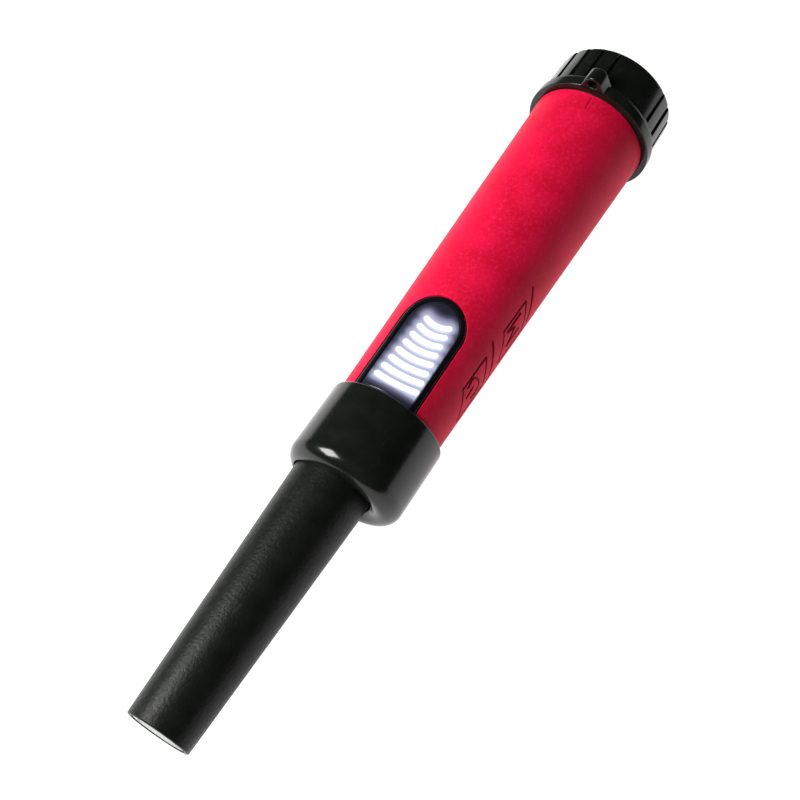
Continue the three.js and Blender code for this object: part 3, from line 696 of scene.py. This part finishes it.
def window_plan(front, inset):
    """The window's outline from its front left corner, round the arch, to its front right corner."""
    half = WINDOW_HALF - inset
    turn = np.radians(np.linspace(-90, 90, 61))
    arch = np.stack([WINDOW_ARCH + half * np.cos(turn), half * np.sin(turn)], axis=1)
    return spaced(np.array([[front, -half], *arch, [front, half]]), 0.5)


def window_outline(front, inset):
    """The window's whole outline laid flat, its front closed by a straight line."""
    arch = unrolled(window_plan(front, inset), 0)
    return np.concatenate([arch, spaced(np.array([arch[-1], arch[0]]), 0.5)[1:-1]])


def pad_plan(middle, margin=0.0):
    """A pad's outline [station, width]: a leaning four-sided shape with one corner cut off."""
    length, width = PAD_HALF_LENGTH + margin, PAD_HALF_WIDTH + margin
    lean = PAD_SLANT * width
    near, far = middle + lean, middle - lean
    corners = [
        [near - length + PAD_CHAMFER, -width],
        [near - length + PAD_CHAMFER * PAD_SLANT, -width + PAD_CHAMFER],
        [far - length, width],
        [far + length, width],
        [near + length, -width],
    ]
    return rounded_loop([np.array(c) for c in corners], 0.3 + margin / 2, 0.35)


def degrees_path(points):
    """A path of [station, degrees round the tool], laid flat."""
    return np.array([[s, math.radians(a) * UNROLL_R] for s, a in points], float)


def smooth_path(points, spacing=0.25):
    """A smooth curve through a path's points."""
    points = np.asarray(points, float)
    padded = np.array([2 * points[0] - points[1], *points, 2 * points[-1] - points[-2]])
    out = []
    for i in range(1, len(padded) - 2):
        a, b, c, d = padded[i - 1 : i + 3]
        for k in range(8):
            t = k / 8
            out.append(0.5 * (
                2 * b + (c - a) * t + (2 * a - 5 * b + 4 * c - d) * t**2 + (3 * b - a - 3 * c + d) * t**3
            ))
    return spaced(np.array([*out, points[-1]]), spacing)


# The marks beside the pads, the short line near the cap, and how strongly each is cut.
SHELL_LINES = [
    degrees_path([(132.2, 62), (126.7, 95)]),
    degrees_path([(153.6, 64), (147.6, 91)]),
    degrees_path([(210.8, 3.7), (215.1, 2.5)]),
]
LINE_STRENGTHS = [1, 1, 0.35]
# Half widths: an icon's line, a faint line of the grip, and what a full strength adds to that.
ICON_HALF, LINE_HALF, LINE_EXTRA = 0.44, 0.3, 0.18

# The icons are generic: a hooked arc with a bar, and a bolt.
ICONS = {
    "power": [
        smooth_path(degrees_path([
            (117.5, 71), (120.4, 69), (121.8, 74), (121.8, 82), (120.2, 87), (117.5, 87),
        ])),
        degrees_path([(119.3, 77), (115.7, 79)]),
    ],
    "light": [
        degrees_path([(145.5, 71), (138.4, 71.5), (141.6, 76.3), (136.3, 84.5), (143.1, 84)]),
    ],
}

# ---------------------------------------------------------------- grip shell

DEEP_SHADE = 0.9  # the painted shade deep in a cut


def wall(loop, facing, outer, inner, closed=True):
    """The side of a cut through the grip, straight in along its facing between two radii."""
    angle = loop[:, 1] / UNROLL_R
    inner_angle = facing + np.arcsin(outer * np.sin(angle - facing) / inner)
    points = np.concatenate([place(loop[:, 0], angle, outer), place(loop[:, 0], inner_angle, inner)])
    return points, grid_faces(2, len(loop), close_columns=closed)


FRONT_POINTS, ROUND_POINTS = 57, 144  # points on half the front edge, and round the grip
STATION_STEP = 2.5


def grip_skin():
    """The grip's outside with its window and button openings, the edges of these and its rear edge rounded.
    """
    half_turn = math.pi * UNROLL_R
    window = unrolled(window_plan(SHELL_FRONT, 0), 0)
    holes = [unrolled(pad_plan(s), FACING) for s in PADS.values()]
    side = window[-1][1]
    front_edge = math.pi - side / UNROLL_R
    steps = [front_edge * UNROLL_R * k / FRONT_POINTS for k in range(FRONT_POINTS + 1)]
    left = [[SHELL_FRONT, step - half_turn] for step in steps[:-1]]
    right = [[SHELL_FRONT, side + step] for step in steps[1:]]
    stations = np.concatenate([
        np.arange(SHELL_FRONT, SHELL_REAR - 1, STATION_STEP),
        SHELL_REAR - np.array([0.5, 0.3, 0.15, 0.06, 0]),
    ])
    rear = [[SHELL_REAR, half_turn * (1 - 2 * k / ROUND_POINTS)] for k in range(ROUND_POINTS + 1)]
    up = [[s, half_turn] for s in stations[1:-1]]
    down = [[s, -half_turn] for s in stations[-2:0:-1]]
    outline = np.array([*left, *window, *right, *up, *rear, *down])
    spacing = (STATION_STEP, 2 * half_turn / ROUND_POINTS)
    first = (SHELL_FRONT + STATION_STEP, -half_turn)
    seeds = [seeds_between(first, (SHELL_REAR - 1, half_turn), spacing)]
    ring = np.arange(-half_turn, half_turn, spacing[1])
    for inset in (0.06, 0.15, 0.3, 0.5):
        seeds.append(np.stack([np.full_like(ring, SHELL_REAR - inset), ring], axis=1))
    for inset in (0.05, 0.12, 0.22, 0.36, 0.7):
        seeds.append(offset(window, -inset, False))
        seeds += [offset(hole, -inset) for hole in holes]
        seeds += [offset(hole, inset) for hole in holes]
    for line in SHELL_LINES:
        low, high = line.min(axis=0) - 0.8, line.max(axis=0) + 0.8
        fine = seeds_between(low, high, (0.16, 0.16))
        seeds.append(fine[distance_to(fine, line) < 0.75])
    points, faces = triangulate([outline, *holes], np.concatenate(seeds), 0.03)
    edges = np.minimum(distance_to(points, window), SHELL_REAR - points[:, 0])
    at_hole = np.min([distance_to(points, hole, True) for hole in holes], axis=0)
    groove = np.max([
        strength * engraving(distance_to(points, line), LINE_HALF + LINE_EXTRA * strength)
        for line, strength in zip(SHELL_LINES, LINE_STRENGTHS)
    ], axis=0)
    radius = shell_radius(points[:, 0]) - lip(edges, EDGE_LIP) - lip(at_hole, HOLE_LIP)
    radius = radius - ENGRAVING_DEPTH * groove
    # Painted shade in the engraved lines and round the button openings.
    painted_shade = np.maximum(np.clip(groove * 1.5, 0, 1), np.clip(1.4 - at_hole / 0.2, 0, 1))
    skin = place(points[:, 0], points[:, 1] / UNROLL_R, radius)
    parts = [(skin, faces)]
    sides = [
        wall(window, 0, shell_radius(window[:, 0]) - EDGE_LIP, SHELL_BORE_R, closed=False),
        *[wall(hole, FACING, shell_radius(hole[:, 0]) - HOLE_LIP, SHELL_BORE_R) for hole in holes],
    ]
    rim = np.stack([np.full_like(ring, SHELL_REAR), ring], axis=1)
    sides.append(wall(rim, 0, np.full(len(rim), SHELL_REAR_R - EDGE_LIP), SHELL_REAR_BORE_R))
    shade = [painted_shade]
    # Painted shade on the inner half of the button openings' walls.
    for part, depth in zip(sides, (0.0, DEEP_SHADE, DEEP_SHADE, 0.0)):
        parts.append(part)
        half = len(part[0]) // 2
        shade.append(np.concatenate([np.zeros(half), np.full(half, depth)]))
    make(
        "grip_skin", parts, "red_soft_touch", replaces=["grip_shell"],
        attributes={"painted_shade": np.concatenate(shade)},
    )


# ---------------------------------------------------------------- buttons


def pad(use):
    """A rubber key with its icon engraved, down to the skirt and stem behind it."""
    middle = PADS[use]
    plan = pad_plan(middle, -GAP)
    loop = unrolled(plan, FACING)
    seeds = [seeds_between(loop.min(axis=0), loop.max(axis=0), (0.17, 0.17))]
    seeds += either_side(loop, (0.05, 0.12, 0.22, 0.34))
    points, faces = triangulate([loop], np.concatenate(seeds), 0.03)
    edges = distance_to(points, loop, True)
    lines = np.min([distance_to(points, line) for line in ICONS[use]], axis=0)
    groove = engraving(lines, ICON_HALF)
    radius = shell_radius(points[:, 0]) - lip(edges, PAD_LIP) - ENGRAVING_DEPTH * groove
    # Painted shade in the icon's lines and along the pad's edge.
    painted_shade = np.maximum(np.clip(groove * 1.6, 0, 1), np.clip(1.3 - edges / 0.16, 0, 1))
    face = place(points[:, 0], points[:, 1] / UNROLL_R, radius)
    grown = offset(plan, SKIRT + GAP)
    to_stem = plan - [middle, 0]
    stem = [middle, 0] + STEM_R * to_stem / np.linalg.norm(to_stem, axis=1, keepdims=True)
    levels = [
        (plan, SKIRT_TOP), (grown, SKIRT_TOP), (grown, SKIRT_BOTTOM), (stem, SKIRT_BOTTOM),
        (stem, STEM_END),
    ]
    out = np.array([0, math.sin(FACING), math.cos(FACING)])
    across = np.array([0, math.cos(FACING), -math.sin(FACING)])
    axis = np.array([TIP_X, 0, AXIS_Z])
    rows = [face[: len(loop)]]
    for shape, height in levels:
        rows.append(axis + shape[:, :1] * [-1, 0, 0] + shape[:, 1:] * across + height * out)
    rows.append(np.tile(rows[-1].mean(axis=0), (len(loop), 1)))
    side = (np.concatenate(rows), grid_faces(len(rows), len(loop)))
    # Painted shade on the pad's sides, skirt and stem.
    shade = np.zeros(len(side[0]))
    shade[len(loop):] = DEEP_SHADE
    make(
        f"{use}_pad", [(face, faces), side], "red_rubber", body=f"{use}_button",
        replaces=[f"{use}_button_pad"],
        attributes={"painted_shade": np.concatenate([painted_shade, shade])},
    )


# ---------------------------------------------------------------- window


def slab(loops, seeds, top, depth):
    """A solid that follows the grip: a top surface over outlines laid flat, its sides and its underside."""
    points, faces = triangulate(loops, seeds)
    radius = top(points)
    angle = points[:, 1] / UNROLL_R
    upper, lower = place(points[:, 0], angle, radius), place(points[:, 0], angle, radius - depth)
    parts, start = [(upper, faces), (lower, [face[::-1] for face in faces])], 0
    for loop in loops:
        rows = np.concatenate([upper[start : start + len(loop)], lower[start : start + len(loop)]])
        parts.append((rows, grid_faces(2, len(loop))))
        start += len(loop)
    return parts


def bezel():
    """The gloss frame round the window, just under the grip's surface."""
    outer = window_outline(SHELL_FRONT + 0.2, GAP)
    inner = window_outline(WINDOW_SILL, BEZEL_WIDTH + GAP / 2)
    seeds = []
    for inset in (0.08, 0.2, 0.4, 0.7, 1.0, 1.3):
        for sign in (-1, 1):
            seeds += [offset(outer, sign * inset), offset(inner, sign * inset)]
    seeds.append(seeds_between((SHELL_FRONT + 1, -10), (WINDOW_SILL - 0.3, 10), (0.8, 0.8)))

    def top(points):
        out, within = distance_to(points, outer, True), distance_to(points, inner, True)
        return shell_radius(points[:, 0]) - 0.02 - lip(out, 0.35) - lip(within, 0.15)

    parts = slab([outer, inner], np.concatenate(seeds), top, BEZEL_DEPTH)
    make("bezel", parts, "gloss_black", replaces=["window_bezel"])


# The glow in the lens is moved by this [station, y], so that from the photo's angle it lies over the
# bars, which are below the lens. The shift is fixed, so from straight above it is off them by as much.
GLOW_SHIFT = [1.2, -0.95]


def painted_glow_near_bars(plan, core, reach):
    """The painted glow: 1 over the bars, falling off beyond a share of their half width."""
    away = np.min([distance_to(plan, bar_line(i)) for i in range(BAR_COUNT)], axis=0)
    return np.exp(-((np.clip(away - BAR_HALF_WIDTH * core, 0, None) / reach) ** 1.6))


def lens():
    """The smoked sheet over the bars, with a painted glow of their light as an attribute."""
    loop = window_outline(WINDOW_SILL + GAP, BEZEL_WIDTH + GAP)
    seeds = [seeds_between(loop.min(axis=0), loop.max(axis=0), (0.5, 0.5))]
    seeds += either_side(loop, (0.1, 0.25, 0.45))

    def top(points):
        return shell_radius(points[:, 0]) - LENS_RECESS - lip(distance_to(points, loop, True), 0.3)

    parts = slab([loop], np.concatenate(seeds), top, LENS_THICKNESS)
    points = np.concatenate([part[0] for part in parts])
    plan = np.stack([TIP_X - points[:, 0], points[:, 1]], axis=1)
    glow = painted_glow_near_bars(plan + GLOW_SHIFT, 0.7, 2.0)
    make("lens", parts, "smoked_lens", replaces=["window_lens"], attributes={"glow": glow})


def bar_line(number, count=17):
    """The middle line of a light bar in plan, [station, y]: an arc with its ends towards the arch."""
    share = number / (BAR_COUNT - 1)
    half = np.interp(share, (0, 1), BAR_HALF_LENGTHS) - BAR_HALF_WIDTH
    sag = np.interp(share, (0, 1), BAR_SAGS)
    bend = (half**2 + sag**2) / (2 * sag)
    sweep = math.asin(half / bend)
    turn = np.linspace(-sweep, sweep, count)
    ends = BAR_FIRST - BAR_PITCH * number
    return np.stack([ends - sag + bend * (1 - np.cos(turn)), bend * np.sin(turn)], axis=1)


def stadium(line, radius, cap_steps=8):
    """The outline at a radius round a line, with round ends."""
    left, right = offset(line, radius, False), offset(line, -radius, False)
    turn = np.linspace(0, math.pi, cap_steps + 2)[1:-1]

    def cap(centre, start):
        arm = start - centre
        return [centre + arm * math.cos(t) + np.array([arm[1], -arm[0]]) * math.sin(t) for t in turn]

    return np.array([*left, *cap(line[-1], left[-1]), *right[::-1], *cap(line[0], right[0])])


def light_bars():
    """The bars, each crowned, brightest along its middle and unlit underneath."""
    crowned = [
        (share, BAR_TOP - BAR_CROWN * share**3, 1 - share**2) for share in (0.001, 0.3, 0.55, 0.75, 0.9, 1.0)
    ]
    levels = [*crowned, (1.0, BAR_BOTTOM, 0), (0.001, BAR_BOTTOM, 0)]
    for number in range(BAR_COUNT):
        line = bar_line(number)
        rows, glow = [], []
        for share, height, light in levels:
            plan = stadium(line, BAR_HALF_WIDTH * share)
            z = np.full(len(plan), AXIS_Z + height)
            rows.append(np.column_stack([TIP_X - plan[:, 0], plan[:, 1], z]))
            glow.append(np.full(len(plan), light, float))
        part = (np.concatenate(rows), grid_faces(len(rows), len(rows[0])))
        make(
            f"bar_{number + 1}", [part], "light_bar", replaces=[f"light_bar_{number + 1}"],
            attributes={"glow": np.concatenate(glow)},
        )


def led_board():
    """The plate under the bars. Its painted glow falls off with distance from them."""
    low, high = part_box("led_board")
    x = np.linspace(low.x * 1000, high.x * 1000, 90)
    y = np.linspace(low.y * 1000, high.y * 1000, 56)
    grid_x, grid_y = np.meshgrid(x, y, indexing="ij")
    plan = np.stack([TIP_X - grid_x.ravel(), grid_y.ravel()], axis=1)
    glow = painted_glow_near_bars(plan, 0.8, 1.9)
    top = np.column_stack([grid_x.ravel(), grid_y.ravel(), np.full(grid_x.size, high.z * 1000)])
    bottom = top - [0, 0, (high.z - low.z) * 1000]
    faces = grid_faces(len(x), len(y), close_columns=False)
    edge = [i * len(y) for i in range(len(x))] + [(len(x) - 1) * len(y) + j for j in range(1, len(y))]
    edge += [i * len(y) + len(y) - 1 for i in range(len(x) - 2, -1, -1)] + list(range(len(y) - 2, 0, -1))
    sides = (np.concatenate([top[edge], bottom[edge]]), grid_faces(2, len(edge)))
    values = np.concatenate([glow, glow * 0, np.zeros(2 * len(edge))])
    make(
        "led_plate", [(top, faces), (bottom, faces), sides], "led_board", replaces=["led_board"],
        attributes={"glow": values},
    )


# ---------------------------------------------------------------- battery cap


def groove_angles():
    """Where the grip grooves are round the cap, in groups that are evenly spaced."""
    groups = np.radians(FIRST_GROUP + 360 / GROOVE_GROUPS * np.arange(GROOVE_GROUPS))
    within = np.radians(GROOVE_STEP) * (np.arange(GROOVES_IN_GROUP) - GROOVES_IN_GROUP // 2)
    return (groups[:, None] + within[None, :]).ravel()


def cap_shell():
    """The cap as a turned profile, its rim pulled in to the floors of the grooves."""
    sides = GROOVE_HALF / CAP_R + np.array([-0.012, -0.004, 0.002, 0.008])
    close = np.concatenate([groove_angles()[:, None] + k * sides[None, :] for k in (-1, 1)])
    angles = np.unique(np.round(np.concatenate([ROUND, close.ravel() % (2 * math.pi)]), 6))
    profile = rounded([
        [CAP_FLOOR, 0, 0],
        [CAP_FLOOR, CAP_BORE_R, 0.5],
        [CAP_MOUTH_END, CAP_BORE_R, 0],
        [CAP_MOUTH_END, CAP_MOUTH_R, 0],
        [CAP_FRONT, CAP_MOUTH_R, 0.2],
        [CAP_FRONT, FLANGE_R, 0.35],
        [FLANGE_REAR, FLANGE_R, 0.3],
        [CAP_SHOULDER, CAP_R, 0.4],
        [GROOVE_START - 0.02, CAP_R - 0.01, 0],
        [GROOVE_START + 0.1, CAP_R - 0.015, 0],
        [LENGTH, CAP_REAR_R, 1.5],
        [LENGTH, END_RECESS_R + 0.3, 0],
        [LENGTH - END_RECESS, END_RECESS_R, 0],
        [LENGTH - END_RECESS, 0, 0],
    ])
    away = np.min([
        np.abs((angles - groove + math.pi) % (2 * math.pi) - math.pi) for groove in groove_angles()
    ], axis=0)
    depth = np.clip((GROOVE_HALF / CAP_R + 0.004 - away) / 0.008, 0, 1)
    floor = GROOVE_FLOOR_R / np.cos(np.clip(away, 0, 0.06))
    station, radius = profile[:, :1], np.repeat(profile[:, 1:], len(angles), axis=1)
    outside = (np.arange(len(profile)) > np.argmax(profile[:, 1] >= FLANGE_R - 1e-6))[:, None]
    cut = (station >= GROOVE_START) & outside
    radius = np.where(cut, radius - np.clip(radius - floor, 0, None) * depth, radius)
    return place(station, angles[None, :], radius).reshape(-1, 3), grid_faces(len(profile), len(angles))


def lug():
    """The lanyard lug: a rounded tab across the flange, with a hole along the tool."""
    centre, foot = LUG_CROWN - LUG_R, LUG_FOOT_HEIGHT
    turn = np.radians(np.linspace(165, 15, 41))
    crown = np.stack([LUG_R * np.cos(turn), centre + LUG_R * np.sin(turn)], axis=1)
    outline = spaced(np.array([[-LUG_FOOT, foot], *crown, [LUG_FOOT, foot]]), 0.4, True)
    hole_centre = np.array([0, LUG_HOLE])
    to_edge = (outline - hole_centre) / np.linalg.norm(outline - hole_centre, axis=1, keepdims=True)
    rear = CAP_FRONT + LUG_LENGTH

    def inset(amount):
        return offset(outline, -amount)

    def hole(r):
        return hole_centre + r * to_edge

    rows = [
        (hole(LUG_HOLE_R), CAP_FRONT + 0.3),
        (hole(LUG_HOLE_R + 0.1), CAP_FRONT + 0.1),
        (hole(LUG_HOLE_R + 0.3), CAP_FRONT),
        (inset(0.5), CAP_FRONT),
        (inset(0.2), CAP_FRONT + 0.1),
        (inset(0.05), CAP_FRONT + 0.25),
        (inset(0), CAP_FRONT + 0.5),
        (inset(0), rear - 0.5),
        (inset(0.05), rear - 0.25),
        (inset(0.2), rear - 0.1),
        (inset(0.5), rear),
        (hole(LUG_HOLE_R + 0.3), rear),
        (hole(LUG_HOLE_R + 0.1), rear - 0.1),
        (hole(LUG_HOLE_R), rear - 0.3),
    ]
    points = [
        np.column_stack([np.full(len(shape), TIP_X - s), shape[:, 0], AXIS_Z + shape[:, 1]])
        for shape, s in rows
    ]
    return np.concatenate(points), grid_faces(len(rows), len(outline), close_rows=True)


def thread(start, root, tip, turns=1.75, pitch=3.0, steps_per_turn=96):
    """A helical ridge between two radii."""
    steps = round(turns * steps_per_turn)
    angle = 2 * math.pi * np.arange(steps + 1) / steps_per_turn
    station = start + pitch * np.arange(steps + 1) / steps_per_turn
    rows = [
        place(station + half, angle, r)
        for r, half in ((root, -0.7), (tip, -0.4), (tip, 0.4), (root, 0.7))
    ]
    points = np.stack(rows, axis=1).reshape(-1, 3)
    return points, [*grid_faces(steps + 1, 4), [0, 1, 2, 3], [4 * steps + k for k in (3, 2, 1, 0)]]


def battery_cap():
    ridge = thread(THREAD_START, CAP_BORE_R + THREAD_ROOT, CAP_BORE_R - THREAD_HEIGHT)
    make(
        "cap_body", [cap_shell(), lug(), ridge], "collar_plastic", body="battery_cap",
        replaces=["battery_cap"],
    )


def seal_ring():
    """The seal: a ring of round section. The CAD ring's box touches the flats of its sides."""
    low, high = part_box("cap_seal_ring")
    middle = TIP_X - (low.x + high.x) * 500
    section, outer = (high.x - low.x) * 500, (high.z - low.z) * 500
    turn = np.linspace(0, 2 * math.pi, 25)
    centre = outer / math.cos(math.pi / SEAL_SIDES) - section
    profile = np.stack([middle + section * np.cos(turn), centre + section * np.sin(turn)], axis=1)
    make("seal", [lathe(profile)], "black_rubber", body="cap_seal", replaces=["cap_seal_ring"])


tube()
tip_disc()
collar()
grip_skin()
for use in PADS:
    pad(use)
bezel()
lens()
light_bars()
led_board()
battery_cap()
seal_ring()

# ---------------------------------------------------------------- studio


# In metres and watts.
KEY_DIRECTION, KEY_DISTANCE, KEY_SIZE, KEY_POWER = (0.4, -0.54, 0.74), 0.6, 0.3, 7.2
KEY_AIM = (0, 0, 0.02)
FLOOR_HALF, FLOOR_COUNT, FLOOR_GLOW = 40.0, 24, 1.05
WORLD_COLOUR = (0.03, 0.03, 0.031, 1)


def key_light():
    """One square softbox."""
    data = bpy.data.lights.new("key", "AREA")
    data.shape, data.size, data.size_y = "RECTANGLE", KEY_SIZE, KEY_SIZE
    data.energy = KEY_POWER
    lamp = bpy.data.objects.new("key", data)
    away = Vector(KEY_DIRECTION).normalized()
    lamp.location = Vector(KEY_AIM) + KEY_DISTANCE * away
    lamp.rotation_mode = "QUATERNION"
    lamp.rotation_quaternion = away.to_track_quat("Z", "Y")
    scene.collection.objects.link(lamp)


def make_floor():
    """The floor that the cap's flange rests on. It glows, so that it comes out white as in the photo."""
    steps = np.linspace(-FLOOR_HALF, FLOOR_HALF, FLOOR_COUNT)
    x, y = np.meshgrid(steps, steps, indexing="ij")
    mesh = bpy.data.meshes.new("floor")
    z = AXIS_Z / 1000 - FLANGE_R / 1000
    points = np.column_stack([x.ravel(), y.ravel(), np.full(x.size, z)])
    mesh.from_pydata(points.tolist(), [], grid_faces(FLOOR_COUNT, FLOOR_COUNT, close_columns=False))
    material, shader = new_material("floor")
    broad = texture(material, "ShaderNodeTexNoise", 400.0, detail=2.0)
    tones = ramp(material, broad, [(0.3, (0.4, 0.4, 0.4)), (0.7, (0.43, 0.43, 0.43))])
    link(material, tones, shader.inputs["Base Color"])
    shader.inputs["Emission Color"].default_value = (1, 1, 1, 1)
    shader.inputs["Emission Strength"].default_value = FLOOR_GLOW
    shader.inputs["Roughness"].default_value = 0.8
    shader.inputs["Specular IOR Level"].default_value = 0.1
    mesh.materials.append(material)
    floor = bpy.data.objects.new("floor", mesh)
    scene.collection.objects.link(floor)


def make_world():
    world = bpy.data.worlds.new("studio")
    world.use_nodes = True
    world.node_tree.nodes["Background"].inputs["Color"].default_value = WORLD_COLOUR
    world.node_tree.nodes["Background"].inputs["Strength"].default_value = 1
    scene.world = world


make_floor()
make_world()
key_light()
scene.view_settings.view_transform = "Standard"
